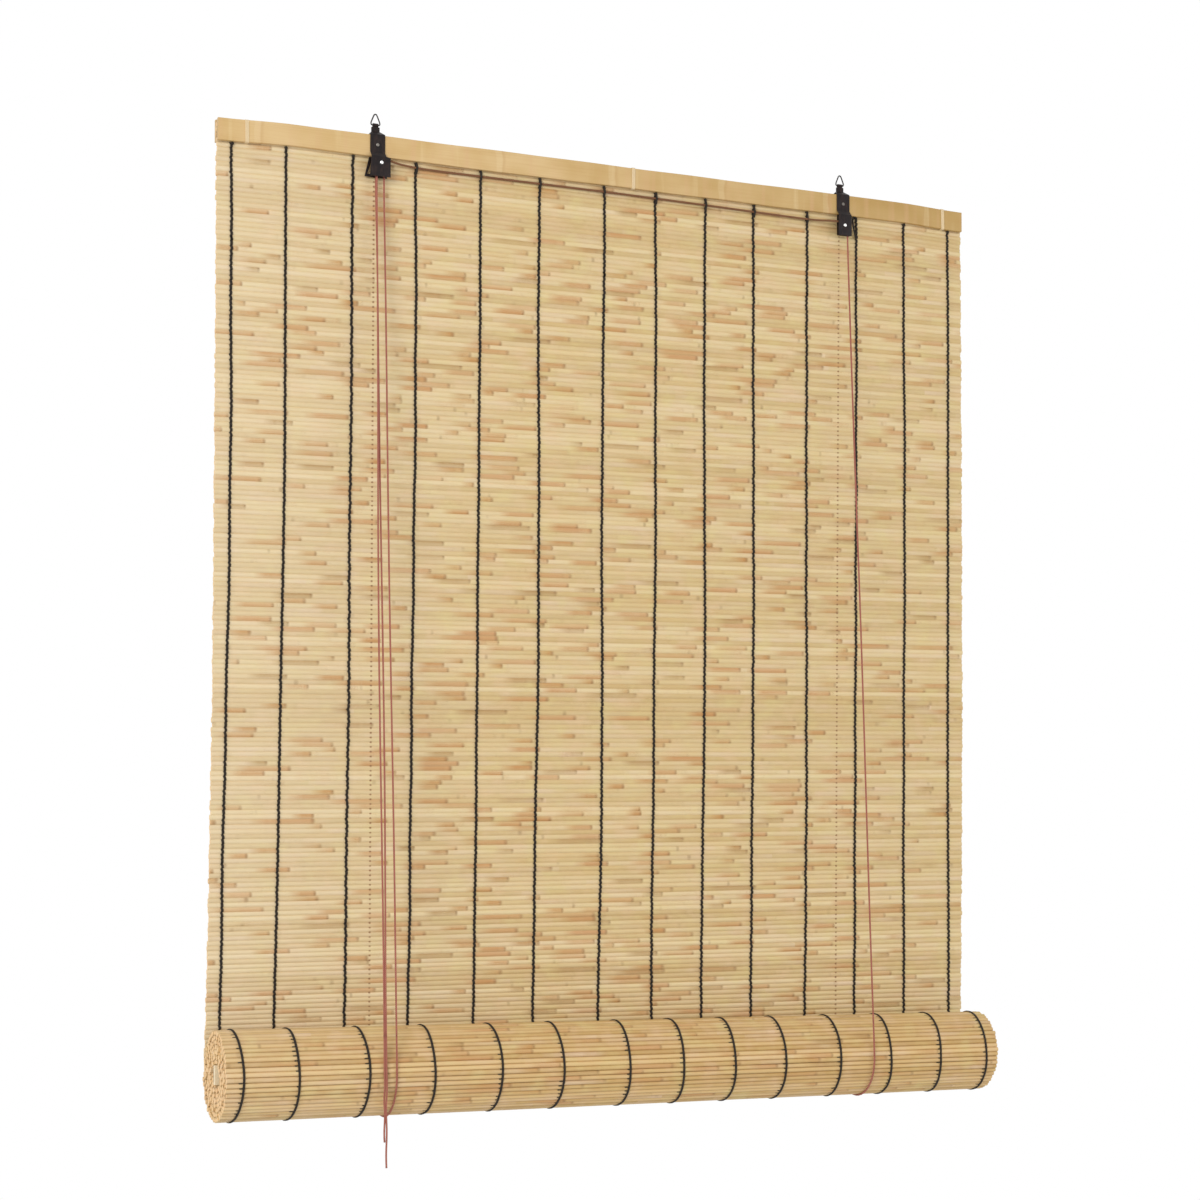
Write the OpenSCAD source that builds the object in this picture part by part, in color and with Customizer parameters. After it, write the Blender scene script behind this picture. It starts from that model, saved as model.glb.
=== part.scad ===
// Reed roll-up blind, partly rolled up, with two pulley hangers and its lift cords.
// Millimetres. +X is to the right as seen from the room, the front faces -Y, +Z is up.
// The origin is at the middle of the width, on the line through the tops of the rings' openings.

/* [Mat] */
// Width of the mat and of the head laths
blind_w = 900; // [840:10:1200]
// Diameter of a reed
reed_d = 4.5; // [4:0.1:5]
// Open gap between two reeds
reed_gap = 0.53; // [0.4:0.01:0.8]
// Reeds that hang between the head laths and the roll
hanging_reeds = 192; // [120:1:210]
// Reeds that are clamped between the head laths
head_reeds = 4; // [3:1:4]
// Reeds between two rows of open gaps
reeds_per_row = 24; // [20:1:40]
// Length of an open gap
gap_l = 26; // [12:1:26]

/* [Warp strings] */
// Width of a string
string_w = 2.4; // [1.5:0.1:3]
// Thickness of a string on the reeds
string_t = 0.9; // [0.5:0.1:1.2]
// First string from the left edge
string_left = 16; // [14:1:30]
// Last string from the right edge
string_right = 17; // [14:1:30]

/* [Head laths] */
// Height of a lath
lath_h = 23; // [22:0.5:24]
// Thickness of a lath
lath_t = 5; // [4:0.5:5.5]
// Chamfer on the long edges of a lath
lath_chamfer = 0.6; // [0.2:0.1:1]
// Width of a tie round the laths
tie_w = 2.4; // [1.5:0.1:4]
// Thickness of a tie
tie_t = 0.38; // [0.2:0.02:0.38]

/* [Hangers] */
// Left hanger from the middle of the blind
left_hanger = 277; // [270:1:284]
// Right hanger from the middle of the blind
right_hanger = 289; // [282:1:296]
// Thickness of the sheet metal
sheet_t = 1; // [0.8:0.1:1.2]
// Width of the strap
strap_w = 16.5; // [15:0.5:18]
// Width of the neck under the ring
neck_w = 9; // [8:0.5:10]
// Width of the curl that holds the ring
curl_w = 6; // [5:0.2:6.4]
// Height of the ring's bar above the laths
neck_rise = 12.5; // [12:0.5:16]
// Height of the strap's shoulders above the laths
shoulder_h = 5.5; // [5:0.5:7]
// Length of the left strap below the top of the laths
left_drop = 45.5; // [43:0.5:47]
// Length of the right strap below the top of the laths
right_drop = 48.5; // [46:0.5:50]
// Width of the left strap at its mouth
left_mouth = 20; // [18:0.5:22]
// Reach of the left strap's ear, to the right of the strap's middle
left_ear = 13; // [11:0.5:14]
// Width of the right strap at its mouth
right_mouth = 17.5; // [17:0.5:18]
// Length of the back leg below the top of the laths
tail_drop = 32; // [31:0.5:36]
// Diameter of a rivet through the laths
rivet_d = 2.4; // [2:0.1:3]
// Rivet below the top of the laths
rivet_drop = 10.9; // [9:0.1:12]

/* [Hanging rings] */
// Outer width of a ring
ring_w = 11.4; // [11:0.2:13]
// Height of the ring's opening above the centre of its bar
ring_open_h = 11; // [10.5:0.5:14]
// Diameter of the ring's wire
wire_d = 1.5; // [1.2:0.1:1.6]

/* [Pulleys] */
// Radius of a sheave's rim
sheave_r = 5; // [4.8:0.1:5.1]
// Width of a sheave
sheave_w = 3; // [2.9:0.1:3.1]
// Radius of a sheave's groove
groove_r = 3.2; // [3:0.1:3.3]
// Diameter of an axle pin
axle_d = 2; // [1.6:0.1:2.4]
// Left axle below the top of the laths
left_axle_drop = 30.5; // [30.3:0.1:31]
// Right axle below the top of the laths
right_axle_drop = 36.5; // [35.5:0.2:37.5]
// Left axle to the right of its strap's middle
left_axle_shift = 3; // [2:0.5:4]
// Thickness of a cheek plate
cheek_t = 0.8; // [0.6:0.1:1]
// Reach of the left cheek plate to the left of its strap's middle, at its top
left_cheek_head = 8.5; // [8:0.5:10]
// Reach of the left cheek plate to the left, at its foot
left_cheek_foot = 13.5; // [12.5:0.5:15]
// Reach of the left cheek plate to the right
left_cheek_reach = 11.5; // [10:0.5:14]
// Width of the slanted leg beside the left cheek plate's window
cheek_leg = 3; // [2.4:0.2:3.4]
// Width of the right cheek plate
right_cheek = 16; // [14:0.5:17]

/* [Roll] */
// Radius of the outer turn at the middle of its reeds
roll_r = 46; // [40:0.5:60]
// Thickness of one turn
turn_t = 4.8; // [4.7:0.1:5.5]
// Reach of the roll past the mat's left edge
roll_shift = 9; // [0:1:20]
// Height of the bottom lath
bottom_lath_h = 20; // [16:0.5:22]
// Thickness of the bottom lath
bottom_lath_t = 5; // [4:0.5:6]
// Width of the spiral groove on the roll's ends
spiral_w = 0.8; // [0.5:0.1:1.2]
// Depth of the spiral groove on the roll's ends
spiral_depth = 3; // [1:0.5:6]

/* [Cords] */
// Diameter of a cord
cord_d = 2; // [1.6:0.1:2]
// Free end of the right lift cord below the roll's axis
right_tail = 70; // [60:1:200]
// Free end of the left lift cord below the roll's axis
left_tail = 96; // [60:1:200]

/* [Hidden] */
$fn = 48;
// Clearance between fixed pieces that touch
fit = 0.1;
// Radial clearance of a running pin
running = 0.08;
// Gap beside a sheave, and round a cord that lies on something
cord_gap = 0.3;

reed_pitch = reed_d + reed_gap;
reed_r = reed_d / 2;
// Half the flat of an eight-sided reed, which is also half the wall that joins two reeds
flat = reed_r * tan(22.5);
rail_z = -(neck_rise + ring_open_h);
lath_z = rail_z - lath_h;
mat_top = lath_z - reed_gap + head_reeds * reed_pitch;
mat_reeds = head_reeds + hanging_reeds;
mat_end = lath_z - hanging_reeds * reed_pitch;
roll_z = mat_end - reed_gap;
roll_y = -roll_r;
roll_x0 = -blind_w / 2 - roll_shift;
roll_reeds = round(2 * PI * roll_r / reed_pitch);
core_r = norm([bottom_lath_h, bottom_lath_t]) / 2 + 2;
spiral_turns = (roll_r - reed_r - core_r) / turn_t - 0.5;

// Strings were tied by hand: even spacing, and how far each one is off it
string_shift = [0, -9, -2, 2, 9, 12, 22, 19, 14, 9, 11, 9, 7, 0];
string_n = len(string_shift);
string_step = (blind_w - string_left - string_right) / (string_n - 1);
string_x = [for (i = [0:string_n - 1]) -blind_w / 2 + string_left + i * string_step + string_shift[i]];
tie_x = [-blind_w / 2 + 30, 23, blind_w / 2 - 27];
// Gap rows, counted in reeds from the top of the mat
gap_rows = [for (k = head_reeds; k < mat_reeds - reeds_per_row / 2; k = k + reeds_per_row) k];

// Head: half thickness of mat, laths and strap, from the middle plane outwards
lath_y = reed_r + fit;
leg_y = lath_y + lath_t + fit;
cheek_stand = 2;
box_y = reed_r + cheek_stand + cheek_t + 2 * sheave_w + 3 * cord_gap;
jog_top = lath_h - 4;
jog_bottom = lath_h + 1;
ring_z = rail_z + neck_rise;
curl_r = wire_d / 2 + 0.2 + sheet_t;

// Left hanger first, then the right one
hanger_x = [-left_hanger, right_hanger];
strap_drop = [left_drop, right_drop];
mouth_w = [left_mouth, right_mouth];
ear = [left_ear, right_mouth / 2];
axle_x = [hanger_x[0] + left_axle_shift, hanger_x[1]];
axle_z = [rail_z - left_axle_drop, rail_z - right_axle_drop];
sheaves = [2, 1];
cheek_head = [left_cheek_head, right_cheek / 2];
cheek_foot = [left_cheek_foot, right_cheek / 2];
cheek_reach = [left_cheek_reach, right_cheek / 2];
// Right edge of the left cheek plate's window, from the strap's middle
window_x = -4;
// Middle of the front sheave and of the back sheave
sheave_y = [-box_y + cord_gap + sheave_w / 2, -box_y + 2 * cord_gap + 1.5 * sheave_w];
function cheek_y(side) = -box_y + cord_gap + sheaves[side] * (sheave_w + cord_gap);

// Cords: radius on a sheave, and the loops under the roll
cord_r = cord_d / 2;
wrap_r = groove_r + cord_gap + cord_r;
loop_back = roll_r + reed_r + cord_gap + fit + cord_r;
loop_front = loop_back - turn_t / 2;
front_y = roll_y - loop_front;
back_y = roll_y + loop_back;
back_x = [-280, 284];
front_x = [-282, 274];
// Free strands in front of the roll: the right cord's strand, then the left cord's
strand_x = [-294.6, -292];
strand_z = [roll_z - right_tail, roll_z - left_tail];
eye_drop = tail_drop - 4;
eye_d = cord_d + 0.4;
knot_r = 2.2;

// Cross cord between the sheaves: x, and z from the top of the laths
cross_run = [[262, -31.4], [220, -30.5], [120, -29.3], [0, -28.3], [-150, -28.7], [-230, -28.7],
    [-252, -27.9], [-263, -26.7]];

function unit(v) = v / norm(v);
// Direction of a route at point i: along its neighbours, or the given direction at an end
function heading(p, i, first, last) =
    i == 0 ? first : i == len(p) - 1 ? last : unit(p[i + 1] - p[i - 1]);
function arc(cx, cz, y, r, from, to, n) =
    [for (k = [0:n]) let (a = from + (to - from) * k / n) [cx + r * cos(a), y, cz + r * sin(a)]];

// Round tube of eight sides along the points p, with the directions of its two ends
module tube(p, first, last, side) {
    n = 8;
    points = [for (i = [0:len(p) - 1]) let (
            t = heading(p, i, first, last),
            u = unit(cross(t, side)),
            v = cross(t, u))
        for (k = [0:n - 1]) p[i] + cord_r * (cos(360 * k / n) * u + sin(360 * k / n) * v)];
    walls = [for (i = [0:len(p) - 2]) for (k = [0:n - 1])
        [i * n + k, (i + 1) * n + k, (i + 1) * n + (k + 1) % n, i * n + (k + 1) % n]];
    cap_a = [for (k = [0:n - 1]) k];
    cap_b = [for (k = [n - 1:-1:0]) (len(p) - 1) * n + k];
    polyhedron(points, concat(walls, [cap_a, cap_b]));
}

// A YZ outline made into a bar along X from x0
module along_x(x0, length) {
    translate([x0, 0, 0])
        rotate([90, 0, 90])
            linear_extrude(length)
                children();
}

// A round pin along Y from y0 to y1
module pin_y(x, z, y0, y1, r) {
    translate([x, y1, z])
        rotate([90, 0, 0])
            cylinder(h = y1 - y0, r = r);
}

// A rivet along Y from y0 (front) to y1 (back): a round pin with a domed head at each end
module rivet(x, z, y0, y1, pin_r, front_r, front_h, back_r, back_h) {
    n = 5;
    front = [for (k = [0:n]) [front_r * sin(90 * k / n), front_h * cos(90 * k / n) - y0]];
    back = [for (k = [n:-1:0]) [back_r * sin(90 * k / n), -back_h * cos(90 * k / n) - y1]];
    translate([x, 0, z])
        rotate([90, 0, 0])
            rotate_extrude()
                polygon(concat(front, [[pin_r, -y0], [pin_r, -y1]], back));
}

// Mat: eight-sided reeds side by side, joined by a thin wall, with rows of open gaps
function reed_z(k) = mat_top - k * reed_pitch - reed_r;
module reed_mat() {
    front = [for (k = [0:mat_reeds - 1]) each [
        [-flat, reed_z(k) + reed_r], [-reed_r, reed_z(k) + flat],
        [-reed_r, reed_z(k) - flat], [-flat, reed_z(k) - reed_r]]];
    back = [for (i = [len(front) - 1:-1:0]) [-front[i][0], front[i][1]]];
    color("burlywood") difference() {
        along_x(-blind_w / 2, blind_w)
            polygon(concat(front, back));
        for (k = gap_rows, x = string_x)
            gap(k, x, gap_l);
        for (x = tie_x)
            gap(head_reeds, x, 2 * tie_w);
        for (x = hanger_x)
            pin_y(x, rail_z - rivet_drop, -reed_d, reed_d, rivet_d / 2 + fit);
    }
}

// Open gap above reed k of the mat
module gap(k, x, length) {
    bite = 0.05;
    translate([x - length / 2, -reed_d, mat_top - k * reed_pitch - bite])
        cube([length, 2 * reed_d, reed_gap + 2 * bite]);
}

// String: a rail in front of the reeds, a rail behind them, and rungs through the open gaps
// The front rail ends where the roll's outer turn comes up against the mat
module warp_string(i) {
    inner = reed_r + fit / 2;
    top = lath_z - fit / 2;
    rung = reed_gap - fit;
    front_end = mat_end + 3 * reed_pitch;
    color("#1d1a16") translate([string_x[i] - string_w / 2, 0, 0]) {
        translate([0, -inner - string_t, front_end])
            cube([string_w, string_t, top - front_end]);
        translate([0, inner, mat_end])
            cube([string_w, string_t, top - mat_end]);
        for (k = gap_rows)
            translate([0, -inner - string_t / 2, mat_top - k * reed_pitch + fit / 2])
                cube([string_w, 2 * inner + string_t, rung]);
    }
}

// Head laths and their ties
module head_lath(facing) {
    c = lath_chamfer;
    y0 = facing * lath_y;
    y1 = facing * (lath_y + lath_t);
    yc = y1 - facing * c;
    color("tan") difference() {
        along_x(-blind_w / 2, blind_w)
            polygon([[y0, rail_z], [yc, rail_z], [y1, rail_z - c],
                [y1, lath_z + c], [yc, lath_z], [y0, lath_z]]);
        for (x = hanger_x)
            pin_y(x, rail_z - rivet_drop, -leg_y, leg_y, rivet_d / 2 + fit);
    }
}

module head_tie(i) {
    inner = lath_y + lath_t + fit / 2;
    lift = fit / 2;
    color("ivory") along_x(tie_x[i] - tie_w / 2, tie_w) difference() {
        translate([-inner - tie_t, lath_z - lift - tie_t])
            square([2 * (inner + tie_t), lath_h + 2 * (lift + tie_t)]);
        translate([-inner, lath_z - lift])
            square([2 * inner, lath_h + 2 * lift]);
    }
}

// Hanger strap: one folded sheet, a front leg with a step, a curl round the ring's bar, a back leg
module hanger_strap(side) {
    x = hanger_x[side];
    color("#2a2220") difference() {
        intersection() {
            union() {
                along_x(x - strap_w, 2 * strap_w)
                    polygon(strap_section(strap_drop[side]));
                along_x(x - strap_w, 2 * strap_w)
                    translate([0, ring_z])
                        circle(r = curl_r);
            }
            strap_front(side);
        }
        translate([x - strap_w, 0, ring_z])
            rotate([0, 90, 0])
                cylinder(h = 2 * strap_w, r = wire_d / 2 + 0.2);
        pin_y(x, rail_z - rivet_drop, -2 * box_y, box_y, rivet_d / 2 + fit);
        pin_y(axle_x[side], axle_z[side], -2 * box_y, -leg_y, axle_d / 2 + fit / 2);
        pin_y(x, rail_z - eye_drop, 0, box_y, eye_d / 2);
    }
}

// Section of a strap across the laths, from the front foot over the curl to the back foot
function strap_section(drop) = let (
        t = sheet_t,
        eave = rail_z + fit,
        bend = sheet_t * 0.4)
    [[-t, ring_z], [-t, rail_z + shoulder_h], [-leg_y - t, eave + bend],
     [-leg_y - t, rail_z - jog_top], [-box_y - t, rail_z - jog_bottom], [-box_y - t, rail_z - drop],
     [-box_y, rail_z - drop], [-box_y, rail_z - jog_bottom + bend], [-leg_y, rail_z - jog_top + bend],
     [-leg_y, eave], [0, rail_z + shoulder_h - t], [leg_y, eave], [leg_y, rail_z - tail_drop],
     [leg_y + t, rail_z - tail_drop], [leg_y + t, eave + bend], [t, rail_z + shoulder_h], [t, ring_z]];

// Front outline of a strap: mouth with its ear, straight leg, shoulders, neck and curl
module strap_front(side) {
    foot = rail_z - strap_drop[side];
    bend = rail_z - jog_bottom;
    mouth = [[-mouth_w[side] / 2, foot], [ear[side], foot], [ear[side], bend - sheet_t]];
    half = [strap_w, strap_w, neck_w, neck_w, curl_w, curl_w] / 2;
    z = [bend, rail_z + 1, rail_z + shoulder_h, ring_z - curl_r - 0.4, ring_z - curl_r, ring_z + 2 * curl_r];
    right = [for (i = [0:5]) [half[i], z[i]]];
    left = [for (i = [5:-1:0]) [-half[i], z[i]]];
    translate([hanger_x[side], 0, 0])
        rotate([90, 0, 0])
            linear_extrude(4 * box_y, center = true)
                polygon(concat(mouth, right, left));
}

module lath_rivet(side) {
    x = hanger_x[side];
    z = rail_z - rivet_drop;
    out = leg_y + sheet_t;
    color("silver")
        rivet(x, z, -out, out, rivet_d / 2, rivet_d * 0.8, 0.9, rivet_d * 0.8, 0.9);
}

// Cheek plate behind the sheaves, held by the riveted axle pin
// The left one is flared, with a window beside its slanted leg
module pulley_cheek(side) {
    y = cheek_y(side);
    color("#241c1a") difference() {
        translate([hanger_x[side], y + cheek_t, 0])
            rotate([90, 0, 0])
                linear_extrude(cheek_t)
                    cheek_outline(side);
        pin_y(axle_x[side], axle_z[side], y - 1, y + cheek_t + 1, axle_d / 2 + fit / 2);
    }
}

module cheek_outline(side) {
    top = lath_z - 0.8;
    bottom = rail_z - strap_drop[side] + 0.5;
    head = cheek_head[side];
    foot = cheek_foot[side];
    sill = bottom + cheek_leg;
    lintel = top - cheek_leg;
    difference() {
        polygon([[-head, top], [cheek_reach[side], top], [cheek_reach[side], bottom], [-foot, bottom]]);
        if (side == 0)
            polygon([[cheek_leg - head, lintel], [window_x, lintel],
                [window_x, sill], [cheek_leg - foot, sill]]);
    }
}

module axle_pin(side) {
    x = axle_x[side];
    z = axle_z[side];
    front = -box_y - sheet_t;
    back = cheek_y(side) + cheek_t;
    color("gainsboro")
        rivet(x, z, front, back, axle_d / 2, axle_d, 1, axle_d * 0.8, 0.5);
}

module sheave(side, place) {
    h = sheave_w / 2;
    lip = cord_r + 0.25;
    bore = axle_d / 2 + running;
    color("saddlebrown") translate([axle_x[side], sheave_y[place], axle_z[side]])
        rotate([90, 0, 0])
            rotate_extrude()
                polygon([[bore, -h], [sheave_r, -h], [sheave_r, -lip], [groove_r, -cord_r - fit],
                    [groove_r, cord_r + fit], [sheave_r, lip], [sheave_r, h], [bore, h]]);
}

// Hanging ring: a bent wire with a bar that turns in the strap's curl
module hanging_ring(side) {
    half = (ring_w - wire_d) / 2;
    apex = ring_open_h + wire_d / 2;
    bend = [[-half + 0.7, 0], [half - 0.7, 0], [half, 2.4], [1.2, apex], [-1.2, apex], [-half, 2.4]];
    color("#33302e") translate([hanger_x[side], 0, ring_z])
        for (i = [0:5])
            wire(bend[i], bend[(i + 1) % 6]);
}

module wire(p, q) {
    d = q - p;
    translate([p[0], 0, p[1]]) {
        sphere(d = wire_d + fit);
        rotate([0, atan2(d[0], d[1]), 0])
            cylinder(h = norm(d), d = wire_d);
    }
}

// Roll: the turns as one solid, its outer turn scalloped by the reeds, a spiral on both ends
function turn_r(a) = roll_r - turn_t * a / 360;
function roll_point(r, a) = [roll_y + r * cos(a), roll_z - r * sin(a)];
module reed_roll() {
    step = 360 / roll_reeds;
    valley = reed_r * 0.45;
    skin = [for (k = [0:roll_reeds - 1]) each [
        roll_point(turn_r(k * step) + valley, k * step),
        roll_point(turn_r((k + 0.3) * step) + reed_r, (k + 0.3) * step),
        roll_point(turn_r((k + 0.7) * step) + reed_r, (k + 0.7) * step)]];
    last = roll_point(turn_r(360) + valley, 360);
    color("burlywood") difference() {
        along_x(roll_x0, blind_w)
            polygon(concat(skin, [last]));
        along_x(roll_x0 - 1, blind_w + 2)
            translate([roll_y - bottom_lath_t / 2 - fit, roll_z - bottom_lath_h / 2 - fit])
                square([bottom_lath_t + 2 * fit, bottom_lath_h + 2 * fit]);
        for (x = [roll_x0 - 1, roll_x0 + blind_w - spiral_depth])
            along_x(x, spiral_depth + 1)
                spiral();
    }
}

module spiral() {
    step = 18;
    n = floor(spiral_turns * 360 / step);
    outer = [for (i = [0:n]) roll_point(turn_r(i * step) - reed_r, i * step)];
    inner = [for (i = [n:-1:0]) roll_point(turn_r(i * step) - reed_r - spiral_w, i * step)];
    polygon(concat(outer, inner));
}

module bottom_lath() {
    color("wheat") along_x(roll_x0, blind_w)
        translate([roll_y - bottom_lath_t / 2, roll_z - bottom_lath_h / 2])
            square([bottom_lath_t, bottom_lath_h]);
}

// Strings on the outer turn of the roll
module roll_strings() {
    step = 6;
    n = 55;
    inner = reed_r + 2 * fit;
    low = [for (i = [0:n]) roll_point(turn_r(i * step) + inner, i * step)];
    high = [for (i = [n:-1:0]) roll_point(turn_r(i * step) + inner + string_t, i * step)];
    color("#1d1a16") for (x = string_x)
        along_x(x - string_w / 2 - 4, string_w)
            polygon(concat(low, high));
}

// Cords: fixed run behind the mat, loop under the roll, front run up to the sheave
DOWN = [0, 0, -1];
UP = [0, 0, 1];
X = [1, 0, 0];
Y = [0, 1, 0];

module lift_cord_back(side) {
    x = hanger_x[side];
    z = rail_z - eye_drop;
    y = leg_y + sheet_t;
    color("#9a5548") tube([[x, y + knot_r, z], [x, leg_y, z], [x, leg_y - 1.6, z - 0.6],
        [x, back_y + 1.4, z - 3], [x, back_y + 0.4, z - 7], [x, back_y, z - 13],
        [back_x[side], back_y, roll_z]], -Y, DOWN, X);
}

module cord_knot(side) {
    y = leg_y + sheet_t + fit + knot_r;
    color("#8a4a3e") difference() {
        translate([hanger_x[side], y, rail_z - eye_drop])
            sphere(r = knot_r);
        pin_y(hanger_x[side], rail_z - eye_drop, y - 2 * knot_r, y + fit, cord_r + fit);
    }
}

module lift_cord_loop(side) {
    n = 14;
    points = [for (k = [0:n]) let (
            a = 180 * k / n,
            r = loop_back + (loop_front - loop_back) * k / n,
            p = roll_point(r, a))
        [back_x[side] + (front_x[side] - back_x[side]) * k / n, p[0], p[1]]];
    color("#9a5548") tube(points, DOWN, UP, X);
}

module lift_cord_front(side) {
    x = axle_x[side] + wrap_r;
    y = sheave_y[1 - side];
    z = axle_z[side];
    low = rail_z - strap_drop[side];
    color("#9a5548") tube([[front_x[side], front_y, roll_z], [front_x[side], front_y + 0.5, roll_z + 14],
        [x - 0.4, y - 1.4, low - 16], [x, y - 0.2, low - 3], [x, y, low + 4], [x, y, z]], UP, UP, X);
}

module lift_cord_turn() {
    color("#9a5548") tube(arc(axle_x[0], axle_z[0], sheave_y[1], wrap_r, 0, 180, 10), UP, DOWN, Y);
}

module cross_cord() {
    y = sheave_y[0];
    run = [for (p = cross_run) [p[0], y, rail_z + p[1]]];
    over_right = arc(axle_x[1], axle_z[1], y, wrap_r, 0, 90, 5);
    over_left = arc(axle_x[0], axle_z[0], y, wrap_r, 90, 180, 5);
    color("#8a4a3e") tube(concat(over_right, run, over_left), UP, DOWN, Y);
}

// Free strands of the pull cord: down to the roll's front, then the hanging end
module pull_cord_upper(i) {
    x = axle_x[0] - wrap_r;
    y = sheave_y[i];
    low = rail_z - strap_drop[0];
    color("#9a5548") tube([[x, y, axle_z[0]], [x, y, low + 4], [x - 0.2, y - 0.3, low - 3],
        [x - 0.6, y - 1.6, low - 16], [strand_x[i], front_y + 0.5, roll_z + 14],
        [strand_x[i], front_y, roll_z]], DOWN, DOWN, X);
}

module pull_cord_lower(i) {
    color("#9a5548") tube([[strand_x[i], front_y, roll_z], [strand_x[i], front_y, strand_z[i]]],
        DOWN, DOWN, X);
}

function numbered(name, n) = [for (i = [1:n]) str(name, i < 10 ? "_0" : "_", i)];
SIDES = ["_left", "_right"];
STRINGS = numbered("warp_string", string_n);
TIES = numbered("head_tie", len(tie_x));

reed_mat();
head_lath(-1);  // head_lath_front
head_lath(1);  // head_lath_back
reed_roll();
bottom_lath();
roll_strings();
sheave(0, 0);  // sheave_left_front
sheave(0, 1);  // sheave_left_back
sheave(1, 0);  // sheave_right
lift_cord_turn();  // lift_cord_left_turn
cross_cord();
for (s = [0, 1]) {
    hanger_strap(s);
    lath_rivet(s);
    pulley_cheek(s);
    axle_pin(s);
    hanging_ring(s);
    cord_knot(s);
    lift_cord_back(s);
    lift_cord_loop(s);
    lift_cord_front(s);
    pull_cord_upper(1 - s);
    pull_cord_lower(1 - s);
}
for (i = [0:len(tie_x) - 1])
    head_tie(i);
for (i = [0:string_n - 1])
    warp_string(i);
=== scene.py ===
# %% Load the frame
import math
import random

import bmesh
import bpy
from mathutils import Matrix, Vector
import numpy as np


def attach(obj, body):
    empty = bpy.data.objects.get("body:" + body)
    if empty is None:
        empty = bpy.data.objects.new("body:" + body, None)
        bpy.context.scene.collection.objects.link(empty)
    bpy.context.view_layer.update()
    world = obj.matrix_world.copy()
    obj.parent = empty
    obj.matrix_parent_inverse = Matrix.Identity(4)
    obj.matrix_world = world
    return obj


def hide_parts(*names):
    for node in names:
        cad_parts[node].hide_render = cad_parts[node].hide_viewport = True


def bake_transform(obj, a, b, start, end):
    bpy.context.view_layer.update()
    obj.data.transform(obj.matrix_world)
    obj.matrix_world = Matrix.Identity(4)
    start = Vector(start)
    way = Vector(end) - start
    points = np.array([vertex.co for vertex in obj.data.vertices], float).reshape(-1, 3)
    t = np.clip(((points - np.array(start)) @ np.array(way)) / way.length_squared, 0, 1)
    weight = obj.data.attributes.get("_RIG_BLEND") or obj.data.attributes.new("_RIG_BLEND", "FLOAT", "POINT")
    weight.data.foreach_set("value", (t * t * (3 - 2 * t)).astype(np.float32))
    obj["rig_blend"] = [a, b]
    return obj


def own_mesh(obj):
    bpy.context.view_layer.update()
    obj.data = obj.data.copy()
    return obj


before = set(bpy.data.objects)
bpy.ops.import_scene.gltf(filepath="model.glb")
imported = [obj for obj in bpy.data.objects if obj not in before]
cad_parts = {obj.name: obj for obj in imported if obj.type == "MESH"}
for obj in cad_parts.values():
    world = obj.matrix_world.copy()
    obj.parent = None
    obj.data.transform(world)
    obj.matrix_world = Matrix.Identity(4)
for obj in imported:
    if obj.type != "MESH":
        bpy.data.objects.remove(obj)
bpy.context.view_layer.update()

# %% [markdown]
# # A reed roll-up blind
# The blind is a mat of dry reeds that black strings twine together. Two bamboo laths clamp its top
# edge, two folded metal hangers carry the laths, and cords lift the roll at the bottom.
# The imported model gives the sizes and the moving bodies. This lesson puts the looks on it.
#
# ## The camera and the light come first
# Everything is judged through one view, so the camera is set before any piece is made. The picture
# was taken from the left and from below the middle, with a lens of about 72 mm, and its frame was
# cut so that the optical axis lies low in it. A vertical shift repeats that cut without tilting the
# verticals.

# %% Camera
EYE = Vector((-1.0790, -2.4267, -0.8077))
YAW, PITCH = math.radians(23.673), math.radians(1.642)
FOCAL_PX, IMAGE_PX, AXIS_ROW = 2403.2, 1200, 802.8
SENSOR = 36.0

scene = bpy.context.scene


def put(name, data):
    """Puts an object of that name in the scene."""
    obj = bpy.data.objects.new(name, data)
    scene.collection.objects.link(obj)
    return obj


lens = bpy.data.cameras.new("photo_camera")
lens.sensor_width = SENSOR
lens.lens = FOCAL_PX / IMAGE_PX * SENSOR
lens.shift_y = (AXIS_ROW - IMAGE_PX / 2) / IMAGE_PX
lens.clip_start, lens.clip_end = 0.05, 60
camera = put("photo_camera", lens)
sight = Vector((math.sin(YAW) * math.cos(PITCH), math.cos(YAW) * math.cos(PITCH), math.sin(PITCH)))
camera.matrix_world = Matrix.Translation(EYE) @ sight.to_track_quat("-Z", "Y").to_matrix().to_4x4()
scene.camera = camera
print("camera: lens %.1f mm, shift %.3f" % (lens.lens, lens.shift_y))

# %% [markdown]
# A reed mat is all small round forms, and soft light from the front left shows them best: it leaves
# a thin shade under each reed. The world gives an even fill. It shows as plain white to the camera,
# and to rays that are mirrored or pass through, so bright metal reflects the same white. The floor
# lies far below, because the blind hangs, and it keeps the blind's shadow.

# %% Light and floor
def to_mesh(bm, name):
    """Turns bm into a mesh of that name, and frees it."""
    mesh = bpy.data.meshes.new(name)
    bm.to_mesh(mesh)
    bm.free()
    return mesh


def soft_lamp(name, place, target, size, power):
    lamp = bpy.data.lights.new(name, "AREA")
    lamp.shape, lamp.size, lamp.energy = "DISK", size, power
    aim = (Vector(target) - Vector(place)).to_track_quat("-Z", "Y").to_matrix().to_4x4()
    put(name, lamp).matrix_world = Matrix.Translation(Vector(place)) @ aim


soft_lamp("key_lamp", (-2.9, -2.7, 0.35), (0, 0, -0.55), 2.4, 76)
soft_lamp("fill_lamp", (2.4, -2.6, -0.4), (0, 0, -0.6), 2.4, 18)

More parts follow.
